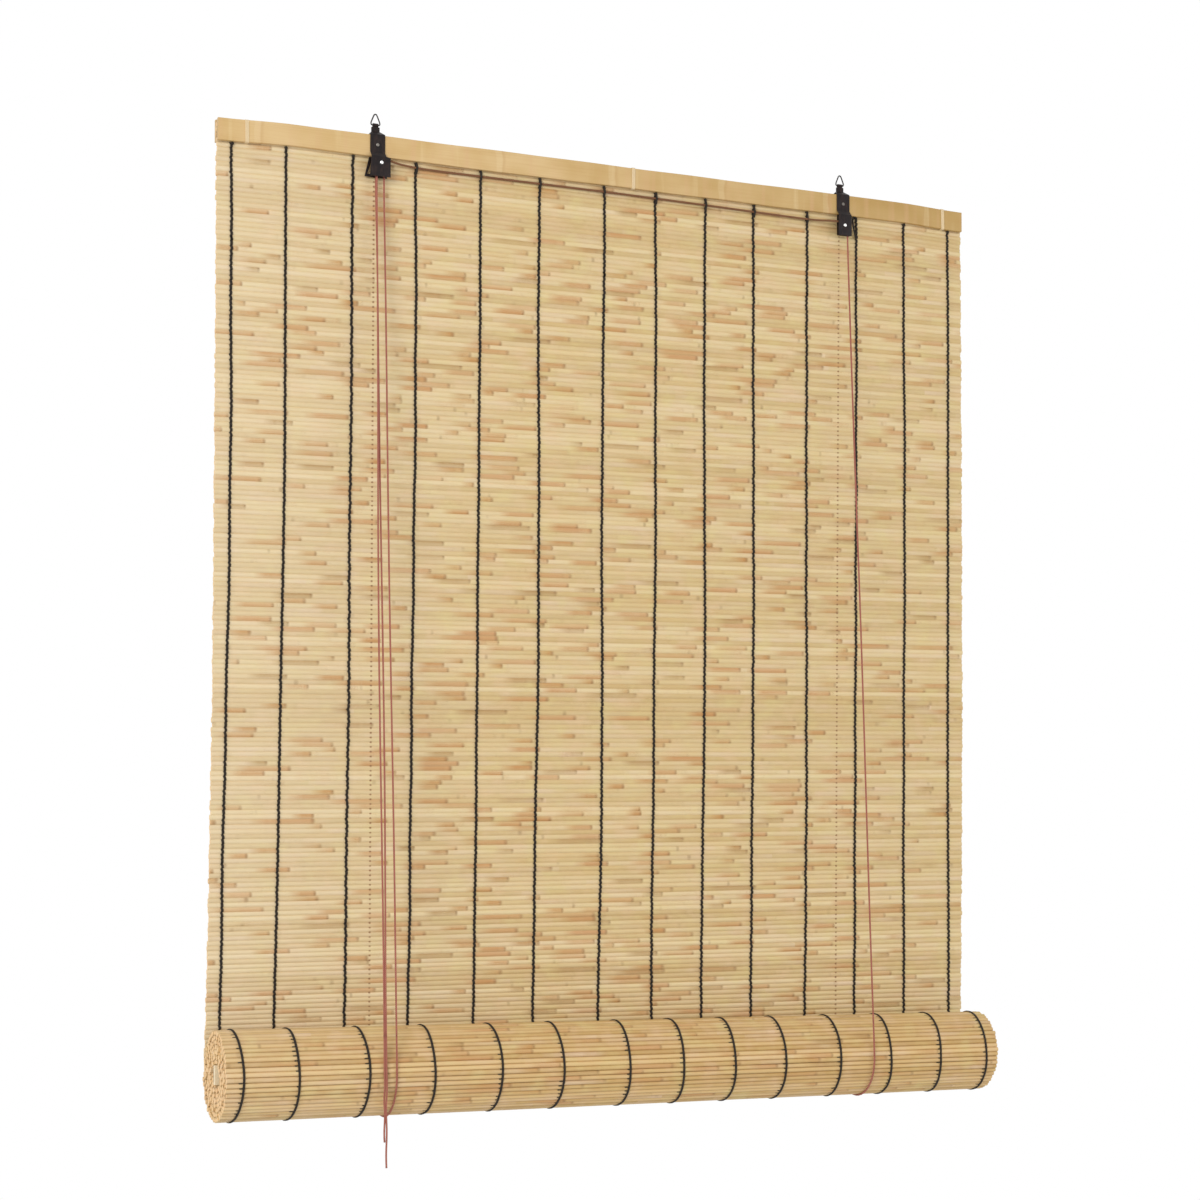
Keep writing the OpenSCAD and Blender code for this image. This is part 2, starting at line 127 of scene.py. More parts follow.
FILL_LIGHT = 0.64
world = bpy.data.worlds.new("studio")
scene.world = world
world.use_nodes = True
sky = world.node_tree
sky.nodes.clear()
add, link = sky.nodes.new, sky.links.new
seen = add("ShaderNodeLightPath")
white, fill = (add("ShaderNodeBackground") for _ in range(2))
for light, strength in ((white, 1), (fill, FILL_LIGHT)):
    light.inputs["Strength"].default_value = strength
    light.inputs["Color"].default_value = (1, 1, 1, 1)
shows_white = seen.outputs["Is Camera Ray"]
for ray in ("Is Glossy Ray", "Is Transmission Ray"):
    larger = add("ShaderNodeMath")
    larger.operation = "MAXIMUM"
    link(shows_white, larger.inputs[0])
    link(seen.outputs[ray], larger.inputs[1])
    shows_white = larger.outputs[0]
either = add("ShaderNodeMixShader")
link(shows_white, either.inputs[0])
link(fill.outputs[0], either.inputs[1])
link(white.outputs[0], either.inputs[2])
whole = add("ShaderNodeOutputWorld")
link(either.outputs[0], whole.inputs["Surface"])

scene.view_settings.view_transform = "Standard"

FLOOR_Z, FLOOR_HALF = -2.95, 4.0
ground = bmesh.new()
bmesh.ops.create_grid(ground, x_segments=4, y_segments=4, size=FLOOR_HALF)
bmesh.ops.translate(ground, vec=(0, 0, FLOOR_Z), verts=ground.verts)
floor = put("floor", to_mesh(ground, "floor"))
paint = bpy.data.materials.new("floor_paint")
paint.use_nodes = True
coat = paint.node_tree.nodes["Principled BSDF"].inputs
coat["Base Color"].default_value = (0.9, 0.9, 0.89, 1)
coat["Roughness"].default_value = 0.8
floor.data.materials.append(paint)
print("lamps 2, floor at", FLOOR_Z)

# %% [markdown]
# ## Writing finishes as expressions
# Each finish is a small tree of nodes. A class wraps a socket and gives it Python's operators, so that
# a mask reads like a formula. One method makes any other node from its type, settings and sockets.

# %% A class for varying values
class Varying:
    """A socket in a finish. Arithmetic on it adds Math nodes."""

    def __init__(self, finish, socket):
        self.finish, self.socket = finish, socket

    def maths(self, operation, a, b=0.0):
        return self.finish.node("ShaderNodeMath", {"operation": operation}, {0: a, 1: b})

    def __add__(self, other):
        return self.maths("ADD", self, other)

    def __radd__(self, other):
        return self.maths("ADD", other, self)

    def __sub__(self, other):
        return self.maths("SUBTRACT", self, other)

    def __rsub__(self, other):
        return self.maths("SUBTRACT", other, self)

    def __mul__(self, other):
        return self.maths("MULTIPLY", self, other)

    def __rmul__(self, other):
        return self.maths("MULTIPLY", other, self)

    def __gt__(self, other):
        return self.maths("GREATER_THAN", self, other)

    def __lt__(self, other):
        return self.maths("LESS_THAN", self, other)

    def sine(self):
        return self.maths("SINE", self)

    def whole(self):
        return self.maths("FLOOR", self)

    def rest(self):
        return self.maths("FRACT", self)

    def size(self):
        return self.maths("ABSOLUTE", self)

    def between(self, low, high):
        """0 at low and below, 1 at high and above."""
        limits = {"From Min": low, "From Max": high}
        return self.finish.node("ShaderNodeMapRange", {"clamp": True}, {"Value": self, **limits})


class Finish:
    """A material whose nodes are made one call at a time."""

    def __init__(self, name, roughness, metallic=0.0):
        self.material = bpy.data.materials.new(name)
        self.material.use_nodes = True
        self.tree = self.material.node_tree
        self.shader = self.tree.nodes["Principled BSDF"]
        self.shader.inputs["Roughness"].default_value = roughness
        self.shader.inputs["Metallic"].default_value = metallic

    def node(self, kind, settings=None, inputs=None, out=0):
        made = self.tree.nodes.new(kind)
        for key, value in (settings or {}).items():
            setattr(made, key, value)
        for key, value in (inputs or {}).items():
            if isinstance(value, Varying):
                self.tree.links.new(value.socket, made.inputs[key])
            else:
                made.inputs[key].default_value = value
        return Varying(self, made.outputs[out])

    def parts(self, vector):
        """The X, Y and Z of a vector."""
        return [self.node("ShaderNodeSeparateXYZ", None, {0: vector}, out=axis) for axis in range(3)]

    def place(self):
        """Object coordinates along X, Y and Z, in metres."""
        return self.parts(self.node("ShaderNodeTexCoord", out="Object"))

    def mark(self, name, out="Fac"):
        """A value that the mesh carries under that name."""
        return self.node("ShaderNodeAttribute", {"attribute_name": name}, out=out)

    def vector(self, x, y, z):
        return self.node("ShaderNodeCombineXYZ", None, {0: x, 1: y, 2: z})

    def noise(self, where, detail=2.0):
        return self.node("ShaderNodeTexNoise", None, {"Vector": where, "Scale": 1.0, "Detail": detail})

    def mix(self, share, a, b):
        """Colour a where share is 0, colour b where it is 1."""
        return self.node("ShaderNodeMix", {"data_type": "RGBA"}, {"Factor": share, 6: a, 7: b}, out=2)

    def coats(self, base, *layers):
        """The base colour with layers over it, each one a share and a colour."""
        for share, colour in layers:
            base = self.mix(share, base, colour)
        return base

    def colour(self, value):
        self.tree.links.new(value.socket, self.shader.inputs["Base Color"])

    def roughness(self, value):
        self.tree.links.new(value.socket, self.shader.inputs["Roughness"])

    def bump(self, height, distance, strength=1.0):
        sockets = {"Height": height, "Distance": distance, "Strength": strength}
        raised = self.node("ShaderNodeBump", None, sockets)
        self.tree.links.new(raised.socket, self.shader.inputs["Normal"])


def tint(red, green, blue):
    """A colour as a screen counts it, 0 to 255, turned into the linear colour that a shader wants."""
    def linear(c):
        c /= 255
        return c / 12.92 if c <= 0.04045 else ((c + 0.055) / 1.055) ** 2.4
    return (linear(red), linear(green), linear(blue), 1)


print("straw as a linear colour:", [round(c, 3) for c in tint(222, 200, 150)])

# %% [markdown]
# ## Cord finish
# The cords are thin and red-brown, laid up from three plies. A tube carries a mark named ply at each
# of its points: the cosine and sine of the angle round it, and the length along it. Slanting stripes
# on angle and length are the plies, and they stay on the cord however it bends.

# %% Cord finishes
PLIES, PLY_LAY = 3, 0.0062


def cord_finish(name, pale, dark):
    made = Finish(name, 0.85)
    cosine, sine, run = made.parts(made.mark("ply", out="Vector"))
    angle = made.node("ShaderNodeMath", {"operation": "ARCTAN2"}, {0: sine, 1: cosine})
    strand = (angle * PLIES + run * (2 * math.pi * PLIES / PLY_LAY)).sine()
    blotch = made.noise(made.vector(run * 90, cosine, sine), 3.0)
    crown = strand.between(-1.0, 0.6)
    shade = crown * 0.75 + (blotch - 0.5) * 0.7
    made.colour(made.mix(shade.between(0.0, 1.0), dark, pale))
    made.bump(strand, 0.00025)
    return made.material


RED_CORD = cord_finish("red_cord", tint(206, 134, 114), tint(144, 74, 60))
BROWN_CORD = cord_finish("brown_cord", tint(156, 106, 70), tint(104, 68, 42))
print("cord finishes:", RED_CORD.name, BROWN_CORD.name)

# %% [markdown]
# ## The cords
# A cord is a ring of points drawn along a route. The ring is a circle, each step extrudes it and one
# matrix carries the new ring to the next point, turned along the route. The routes are those of the
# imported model, in millimetres, smoothed through their points.

# %% Tubes along a route
MM = 0.001
CORD_D, CROSS_D = 0.002, 0.0024


def share(value, low, high):
    """0 at low, 1 at high, and no further."""
    return min(1.0, max(0.0, (value - low) / (high - low)))


def smooth_route(points, step):
    """A Catmull-Rom curve through the points, sampled about every step."""
    p = [Vector(q) for q in points]
    p = [2 * p[0] - p[1]] + p + [2 * p[-1] - p[-2]]
    out = []
    for a, b, c, d in zip(p, p[1:], p[2:], p[3:]):
        reach = (c - b).length
        # the middle knots' own slopes, limited so that a long span keeps straight
        m0, m1 = (c - a).normalized() * reach, (d - b).normalized() * reach
        cuts = max(1, round(reach / step))
        for i in range(cuts):
            t = i / cuts
            h = (2 * t**3 - 3 * t**2 + 1, t**3 - 2 * t**2 + t, -2 * t**3 + 3 * t**2, t**3 - t**2)
            out.append(h[0] * b + h[1] * m0 + h[2] * c + h[3] * m1)
    return out + [p[-2]]


def ring_frames(route, wide, thick, side, closed):
    """The matrix of each ring: its width across, its thickness, and the route's direction."""
    frames = []
    n = len(route)
    for i, point in enumerate(route):
        back = route[(i - 1) % n] if closed or i else route[0]
        ahead = route[(i + 1) % n] if closed or i < n - 1 else route[-1]
        along = (ahead - back).normalized()
        out = along.cross(Vector(side)).normalized()
        across = out.cross(along)
        turn = Matrix((across * wide / 2, out * thick / 2, along)).transposed().to_4x4()
        frames.append(Matrix.Translation(point) @ turn)
    return frames


def draw_tube(bm, route, wide, thick=None, side=(1, 0, 0), sides=8, closed=False):
    """Extrudes a circle along the route in bm, and marks the plies on it."""
    ply = bm.verts.layers.float_vector.get("ply") or bm.verts.layers.float_vector.new("ply")
    frames = ring_frames(route, wide, thick or wide, side, closed)
    ring = bmesh.ops.create_circle(bm, segments=sides, radius=1)["verts"]
    edges = list(dict.fromkeys(e for v in ring for e in v.link_edges))
    for v in ring:
        v[ply] = (v.co.x, v.co.y, 0)
    bmesh.ops.transform(bm, matrix=frames[0], verts=ring)
    first_edges, run = edges, 0.0
    for i in range(1, len(route)):
        grown = bmesh.ops.extrude_edge_only(bm, edges=edges)["geom"]
        ring = [g for g in grown if isinstance(g, bmesh.types.BMVert)]
        edges = [e for e in grown if isinstance(e, bmesh.types.BMEdge)]
        run += (route[i] - route[i - 1]).length
        for v in ring:
            v[ply] = (v[ply][0], v[ply][1], run)
        bmesh.ops.transform(bm, matrix=frames[i] @ frames[i - 1].inverted(), verts=ring)
    if closed:
        bmesh.ops.bridge_loops(bm, edges=edges + first_edges)
    else:
        for end in (first_edges, edges):
            bmesh.ops.contextual_create(bm, geom=end)


def finish_mesh(bm, name, material, sharp=None):
    """Turns bm into an object of that name. Edges that bend by more than sharp, in degrees, stay sharp."""
    bmesh.ops.recalc_face_normals(bm, faces=bm.faces)
    for face in bm.faces:
        face.smooth = True
    mesh = to_mesh(bm, name)
    mesh.materials.append(material)
    if sharp:
        mesh.set_sharp_from_angle(angle=math.radians(sharp))
    return put(name, mesh)


def belongs(piece, body, node):
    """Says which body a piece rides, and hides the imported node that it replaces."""
    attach(piece, body)
    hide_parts(node)


def cord_piece(name, points, material, step=6.0, side=(1, 0, 0), wide=CORD_D):
    """A cord along points in millimetres. Gives the object and the points that it follows, in metres."""
    route = [Vector(p) * MM for p in smooth_route(points, step)]
    bm = bmesh.new()
    draw_tube(bm, route, wide, side=side)
    return finish_mesh(bm, name, material), route


print("a smoothed route:", len(smooth_route([(0, 0, 0), (0, 5, 9), (0, 5, 40)], 4)), "points")

# %% [markdown]
# The two pull strands are free. They come down from the left hanger in front of the mat, pass the
# front of the roll and end in bare cut ends. Each strand is two pieces that meet just above the roll's
# middle, and the lower one draws out as the roll rises. The bit between there and the middle moves
# with the roll, so that a raised roll has its cords over its front.

# %% Pull strands
BLIND_W = 900.0
HALF = BLIND_W / 2
RAIL_Z, LATH_Z = -23.5, -46.5
ROLL_Y, ROLL_Z, ROLL_R, TURN_T = -46.0, -1012.79, 46.0, 4.8
FRONT_Y, BACK_Y = -93.25, 3.65
AXLE = {"left": (-274.0, -54.0), "right": (289.0, -60.0)}
FOOT = {"left": RAIL_Z - 45.5, "right": RAIL_Z - 48.5}
SHEAVE_Y = {"front": -10.15, "back": -6.85}
WRAP_R = 4.5
# how far the roll rises, and from how far above its middle the cords in front move with it
LIFT, SHOULDER = 867.0, 40.0
# a cord is free from 16 mm below its hanger's foot to 14 mm above the roll's middle
FREE_FROM, FREE_TO, SPANS, TAIL_SPANS = 16, 14, 12, 14
# for each strand: where it passes the roll, its sheave's depth, its depth at the roll, its end, its sway
STRAND = {"right": (-295.2, SHEAVE_Y["front"], FRONT_Y, ROLL_Z - 70, -1.6),
          "left": (-293.5, SHEAVE_Y["back"], FRONT_Y - 1.2, ROLL_Z - 96, 1.4)}


def shortens(piece, top_z, end_z=ROLL_Z):
    """Gives a run a mesh of its own."""
    top_z * MM
    1 - LIFT / (top_z - end_z)
    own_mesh(piece)


def declare(route):
    """Gives the length of a cord's route."""
    length = sum((b - a).length for a, b in zip(route, route[1:]))
    return length


def parted(points, step):
    """A smoothed route down to the roll, in two: the run above, and the bit that moves with the roll."""
    route = smooth_route(points, step)
    cut = next(i for i, p in enumerate(route) if p.z < ROLL_Z + SHOULDER)
    return route[:cut + 1], route[cut:]


def way_out(side, sign, y):
    """Where a cord leaves the hanger's foot, on the right (1) or the left (-1) of its sheave."""
    return AXLE[side][0] + sign * WRAP_R, y, FOOT[side] + 1


def strung(start, end, drift):
    """Both ends and points between them. Drift moves each point sideways, by its share of the way."""
    points = [start.lerp(end, i / SPANS) for i in range(SPANS + 1)]
    for i in range(1, SPANS):
        points[i].x += drift(i / SPANS)
    return points


for side, (x, y, front_y, end_z, sway) in STRAND.items():
    def wanders(t):
        """The two strands hang a little apart, and each one wanders as a limp cord does."""
        return sway * math.sin(math.pi * t) + 0.5 * math.sin(9 * t + x)

    top_x, _, top_z = way_out("left", -1, y)
    low = FOOT["left"]
    start = Vector((top_x - 0.6, y - 1.6, low - FREE_FROM))
    last = Vector((x, front_y + 0.5, ROLL_Z + FREE_TO))
    drop = [(top_x, y, top_z), (top_x - 0.2, y - 0.3, low - 3)]
    points, held = parted(drop + strung(start, last, wanders) + [(x, front_y, ROLL_Z)], 6.0)
    upper, route = cord_piece("pull_strand_upper_" + side, points, RED_CORD)
    belongs(upper, "headrail", "pull_cord_upper_" + side)
    shortens(upper, top_z, held[0].z)
    length = declare(route)

    tail = [(x + 0.35 * math.sin(i * 0.9), front_y - 0.2 * math.sin(i * 0.6),
             ROLL_Z + (end_z - ROLL_Z) * i / TAIL_SPANS) for i in range(1, TAIL_SPANS + 1)]
    lower, lower_route = cord_piece("pull_strand_lower_" + side, held + tail, RED_CORD, step=4.0)
    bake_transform(lower, "slings", "pull_ends", start=tuple(held[-1] * MM), end=tuple(lower_route[-1]))
    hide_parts("pull_cord_lower_" + side)
    print("pull strand", side, "%.3f m + %.3f m" % (length, declare(lower_route)))

# %% [markdown]
# The lift cords are held all the way, so they aren't free cords. Each one is knotted behind the head
# laths, comes down behind the mat, slings the roll from below and goes up in front to its sheave.
# The right cord then crosses to the left hanger along the foot of the head laths. As with the strands,
# the bit of the front run just above the roll's middle moves with the roll, so it belongs to the sling.

# %% Lift cords
HANGER = {"left": -277.0, "right": 289.0}
LEG_Y, SHEET_T, EYE_Z, KNOT_R = 7.45, 1.0, RAIL_Z - 28, 2.2
BACK_X = {"left": -280.0, "right": 284.0}
FRONT_X = {"left": -282.0, "right": 277.5}
LOOP_BACK, LOOP_FRONT, LOOP_STEPS = 49.65, 47.25, 22
LEFT_SIZE, RIGHT_SIZE = 1.01, 0.965
BACK_SPANS, BACK_FROM = 10, EYE_Z - 13


def roll_point(radius, degrees):
    """The Y and Z of a point round the roll's axis, from the back downwards to the front."""
    a = math.radians(degrees)
    return ROLL_Y + radius * math.cos(a), ROLL_Z - radius * math.sin(a)


def wound(point):
    """A point of an even roll, moved to where it is on a roll that is wound tighter at its right end."""
    x, y, z = point
    size = LEFT_SIZE + (RIGHT_SIZE - LEFT_SIZE) * share(x, -HALF, HALF)
    return Vector((x, ROLL_Y + (y - ROLL_Y) * size, ROLL_Z + (z - ROLL_Z) * size))


for side, x in HANGER.items():
    behind = [(x, LEG_Y + SHEET_T + KNOT_R, EYE_Z), (x, LEG_Y, EYE_Z), (x, LEG_Y - 1.6, EYE_Z - 0.6),
              (x, BACK_Y + 1.4, EYE_Z - 3), (x, BACK_Y + 0.4, EYE_Z - 7), (x, BACK_Y, BACK_FROM)]
    behind += [(x + (BACK_X[side] - x) * i / BACK_SPANS, BACK_Y + 0.15 * (i % 2),
                BACK_FROM + (ROLL_Z - BACK_FROM) * i / BACK_SPANS) for i in range(1, BACK_SPANS + 1)]
    run, _ = cord_piece("lift_run_back_" + side, behind, RED_CORD, step=8.0)
    belongs(run, "headrail", "lift_cord_back_" + side)
    shortens(run, EYE_Z)

    y = SHEAVE_Y["back" if side == "left" else "front"]
    up_x, _, up_z = way_out(side, 1, y)
    low = FOOT[side]
    foot = Vector((FRONT_X[side], FRONT_Y + 0.5, ROLL_Z + FREE_TO))
    head = Vector((up_x - 0.4, y - 1.4, low - FREE_FROM))
    rise = strung(foot, head, lambda t: 0.6 * math.sin(math.pi * t) * math.sin(7 * t + up_x))
    rise = [(FRONT_X[side], FRONT_Y, ROLL_Z)] + rise + [(up_x, y - 0.2, low - 3), (up_x, y, up_z)]
    rise, held = parted(rise[::-1], 8.0)

    sling = []
    for k in range(LOOP_STEPS + 1):
        t = k / LOOP_STEPS
        y, z = roll_point(LOOP_BACK + (LOOP_FRONT - LOOP_BACK) * t, 180 * t)
        across = BACK_X[side] + (FRONT_X[side] - BACK_X[side]) * t
        pressed = abs(math.sin(math.pi * t))
        sling.append(Vector((across, y, z)).lerp(wound((across, y, z)), pressed))
    loop, _ = cord_piece("lift_sling_" + side, sling + held[-2::-1], RED_CORD, step=5.0)
    belongs(loop, "slings", "lift_cord_loop_" + side)

    run, _ = cord_piece("lift_run_front_" + side, rise, RED_CORD, step=8.0)
    belongs(run, "headrail", "lift_cord_front_" + side)
    shortens(run, up_z, held[0].z)
print("lift cords: runs and slings for", list(HANGER))

# %% [markdown]
# What stays in the hangers comes next: half a turn on the left hanger's back sheave, the cross cord
# with a quarter turn at each end, and the knots behind the laths.

# %% Turns on the sheaves, the cross cord and the knots
def sheave_arc(side, y, start, end, steps):
    """Points of a cord on a sheave, between two angles in degrees, with its ways out of the hanger."""
    x, z = AXLE[side]
    turns = [math.radians(start + (end - start) * k / steps) for k in range(steps + 1)]
    arc = [(x + WRAP_R * math.cos(a), y, z + WRAP_R * math.sin(a)) for a in turns]
    return [way_out(side, 1, y)] * (start == 0) + arc + [way_out(side, -1, y)] * (end == 180)


over = sheave_arc("left", SHEAVE_Y["back"], 0, 180, 14)
turn, _ = cord_piece("lift_turn_left", over, RED_CORD, 2.0, (0, 1, 0))
belongs(turn, "headrail", "lift_cord_left_turn")

# along the foot of the laths, with heights below the laths' top
CROSS_RUN = [(272, -9.5, -32.4), (255, -6.5, -32.8), (220, -4.4, -32.2), (120, -4.3, -30.9),
             (0, -4.3, -29.9), (-150, -4.3, -29.9), (-220, -4.4, -29.7), (-250, -6.5, -28.6),
             (-262, -9.2, -27.2)]
crossing = sheave_arc("right", SHEAVE_Y["front"], 0, 90, 6)
crossing += [(x, y, RAIL_Z + z) for x, y, z in CROSS_RUN]
crossing += sheave_arc("left", SHEAVE_Y["front"], 90, 180, 6)
cross, _ = cord_piece("cross_cord_run", crossing, BROWN_CORD, 5.0, (0, 1, 0), CROSS_D)
belongs(cross, "headrail", "cross_cord")

KNOT_STEPS, KNOT_TURN, KNOT_FROM, KNOT_D = 24, 1.15, LEG_Y + SHEET_T + 1.2, 0.0019
for side, x in HANGER.items():
    knot = bmesh.new()
    # an overhand knot: a cord that goes one and a half times round itself
    rounds = []
    for k in range(KNOT_STEPS + 1):
        t = k / KNOT_STEPS
        a = 3 * math.pi * t
        y = KNOT_FROM + KNOT_R * t
        rounds.append(Vector((x + KNOT_TURN * math.cos(a), y, EYE_Z + KNOT_TURN * math.sin(a))) * MM)
    draw_tube(knot, rounds, KNOT_D, side=(0, 1, 0))
    tied = finish_mesh(knot, "fixed_knot_" + side, RED_CORD)
    belongs(tied, "headrail", "cord_knot_" + side)
print("cross cord", len(crossing), "route points")

# %% [markdown]
# ## Reed finish
# A dry reed is straw-coloured and slightly shiny. Every reed differs a little: some are paler, some
# pinkish, and many carry an orange-brown stretch that darkens to the right and stops sharply at a
# joint of the stalk, where a dark spot shows. A reed's points carry four marks: its seed, its tone,
# whether they lie in a cut end, and their height on the round. Its length is cut into stalks a few
# centimetres long, shifted by its seed, and white noise on the number of the stalk decides whether it
# is stained, how long the stain is and how strong.

# %% Reed finish
STALKS_PER_METRE = 13.0
STAIN_EDGE = 0.2
REED_MARKS = ("seed", "tone", "cut", "round")


def reed_finish(name, stain, spot, groove_light, left_light, deep, pale, seen_through=()):
    made = Finish(name, 0.55)
    seed, tone, cut, round_it = (made.mark(m) for m in REED_MARKS)
    x, y, z = made.place()
    travel = x * (STALKS_PER_METRE + tone * 3.0) + seed * 97.0
    stalk, along = travel.whole(), travel.rest()
    draw = made.node("ShaderNodeTexWhiteNoise", {"noise_dimensions": "2D"},
                     {"Vector": made.vector(stalk, seed * 1000.0, 0.0)}, out="Color")
    first, second, third = (made.node("ShaderNodeSeparateColor", None, {0: draw}, out=i) for i in range(3))
    fibre = made.noise(made.vector(x * 60 + seed * 90, y * 2600, z * 2600), 3.0)
    cloud = made.noise(made.vector(x * 14 + seed * 60, seed * 40, 0.0), 3.0)

    drift = made.noise(made.vector(x * 34, 0.0, z * 48))
    straw = made.coats(
        made.mix(tone.between(-1.0, 1.0), deep, pale),
        (cloud.between(0.40, 0.75) * 0.4, tint(220, 186, 124)),
        (cloud.between(0.52, 0.30) * second.between(0.2, 1.0) * 0.7, tint(228, 202, 172)),
        (drift.between(0.52, 0.72) * 0.4, tint(222, 206, 142)),
        (drift.between(0.48, 0.28) * 0.4, tint(228, 196, 158)),
        # painted light: the reeds are paler towards the left, where more light falls
        (x.between(-0.1, -0.5) * left_light, tint(234, 218, 190)),
        # painted light: the grooves between the reeds are paler, against the shade that falls in them
        (round_it.size().between(0.5, 0.95) * groove_light, tint(250, 232, 192)))
    # stains are commoner towards the middle of the mat
    rare = x.size().between(0.24, 0.46) * 0.26 + (1 - stain)
    stained = first.between(rare, rare + 0.02)
    joint = 0.58 + second * 0.38
    length = 0.22 + third * 0.50
    start = joint - length
    inside = along.between(start, start + STAIN_EDGE) * along.between(joint + 0.02, joint)
    streak = (round_it - (second * 1.6 - 0.8)).size().between(1.5, 0.2)
    depth = (0.56 + (first - rare) * 0.9) * (0.35 + streak * 0.65)
    hue = made.mix(third, tint(190, 138, 76), tint(202, 152, 102))
    hue = made.mix(second.between(0.80, 0.86) * 0.7, hue, tint(166, 138, 88))
    dot = (along - joint).size().between(0.035, 0.008) * first.between(rare - 0.12, rare) * streak * spot
    pith = made.mix(fibre.between(0.3, 0.7), tint(255, 224, 178), tint(240, 188, 134))
    straw = made.coats(straw, (stained * inside * depth, hue), (dot, tint(138, 100, 60)),
                       (fibre.between(0.35, 0.75) * 0.16, tint(160, 122, 74)), (cut * 0.9, pith))
    # the lift cords behind the mat show as a dot of cord between each two reeds
    for top_x, low_x in seen_through:
        lean = (low_x - top_x) / (LATH_Z - ROLL_Z)
        beside = (x - (top_x + LATH_Z * lean) * MM + z * lean).size().between(0.0013, 0.0008)
        gap = round_it.size().between(0.45, 0.7) * (y < 0.0)
        straw = made.mix(beside * gap * 0.85, straw, tint(148, 100, 64))
    made.colour(straw)
    made.roughness(0.48 + fibre * 0.2)
    made.bump(fibre, 0.0002, 0.5)
    return made.material


# where the cords behind the mat show, at its top and at its foot
BEHIND = [(HANGER["left"] - 1.8, BACK_X["left"] - 1.8), (HANGER["right"] - 1.8, BACK_X["right"] - 4.5)]
DRY_REED = reed_finish("dry_reed", 0.52, 0.5, 0.22, 0.4, tint(203, 176, 123), tint(229, 208, 163), BEHIND)
ROLLED_REED = reed_finish("rolled_reed", 0.36, 0.5, 0.0, 0.16, tint(190, 153, 92), tint(225, 192, 137))
print("reed finish has", len(DRY_REED.node_tree.nodes), "nodes")

# %% [markdown]
# ## The mat
# One reed is an eight-sided bar with a hollow at each end, divided along its length so that it can
# bend. Every reed of the mat is a copy of that bar with its own length, thickness and slight bow.
# The top of the mat stays still. The rest, which the roll takes up as it rises, is a second piece
# with a mesh of its own.

# %% One reed
REED_PITCH, REED_R, HEAD_REEDS, MAT_REEDS, REED_SIDES = 5.03, 2.25, 4, 196, 8
REED_GAP = REED_PITCH - 2 * REED_R
MAT_TOP = LATH_Z - REED_GAP + HEAD_REEDS * REED_PITCH
SAG, SAG_FROM, SAG_FADE, TILT, HOLLOW = 2.6, 365.0, 95.0, 8.5, 0.6
LEFT_SKEW, RIGHT_SKEW, RIGHT_PAST, RIGHT_SWELL = 8.5, 4.5, 1.2, 0.8
STILL_REEDS, SETTLE_Z = 23, -142.5


def sag(x, z):
    """How far the laths' ends, and the reeds that they hold, have sunk at that place, in millimetres."""
    t = share(abs(x), SAG_FROM, HALF)
    return SAG * t * t * (3 - 2 * t) * (1 - share(LATH_Z - z, 0, SAG_FADE))


def hung(z):
    """The share of the mat's height that lies above z."""
    return share(LATH_Z - z, 0, LATH_Z - ROLL_Z)


def off_level(x, z):
    """How far a reed is off the level there: the strings hold the reeds' right ends a little higher."""
    t = hung(z)
    grown = math.sin(math.pi / 2 * share(t, 0, 0.3))
    tilt = TILT * x / HALF * grown * math.sin(math.pi / 2 * share(t, 1, 0.8))
    return tilt - sag(x, z)


def mat_ends(z):
    """The mat's left and right edge there. A mat rolled by hand leans more and more to one side."""
    t = hung(z)
    right = HALF + RIGHT_PAST + RIGHT_SWELL * math.sin(math.pi * t) - RIGHT_SKEW * t**4
    return -HALF - LEFT_SKEW * t**3, right


def along_x(bm, least):
    return [e for e in bm.edges if abs(e.verts[0].co.x - e.verts[1].co.x) > least]


def reed_bar(cuts):
    """A bar of unit radius and unit length along X, with a hollow in each end."""
    bm = bmesh.new()
    bmesh.ops.create_cone(bm, cap_ends=True, segments=REED_SIDES, radius1=1, radius2=1, depth=1)
    bmesh.ops.rotate(bm, matrix=Matrix.Rotation(math.pi / 2, 3, "Y"), verts=bm.verts)
    ends = [f for f in bm.faces if len(f.verts) == REED_SIDES]
    bmesh.ops.inset_region(bm, faces=ends, thickness=0.4, use_even_offset=True)
    if cuts:
        bmesh.ops.subdivide_edges(bm, edges=along_x(bm, 0.5), cuts=cuts, use_grid_fill=True)
    return to_mesh(bm, "reed_bar")


LONG_BAR, SHORT_BAR = reed_bar(13), reed_bar(0)
print("one reed:", len(LONG_BAR.vertices), "points;", len(SHORT_BAR.vertices), "in a plain one")

# %% [markdown]
# A reed's length, thickness, taper and bow are drawn from a seeded generator. Shift is the slope that
# the reeds of the mat share.

# %% Laying reeds
def start_reeds():
    """An empty bmesh that can hold the reeds' marks."""
    bm = bmesh.new()
    for mark in REED_MARKS:
        bm.verts.layers.float.new(mark)
    return bm


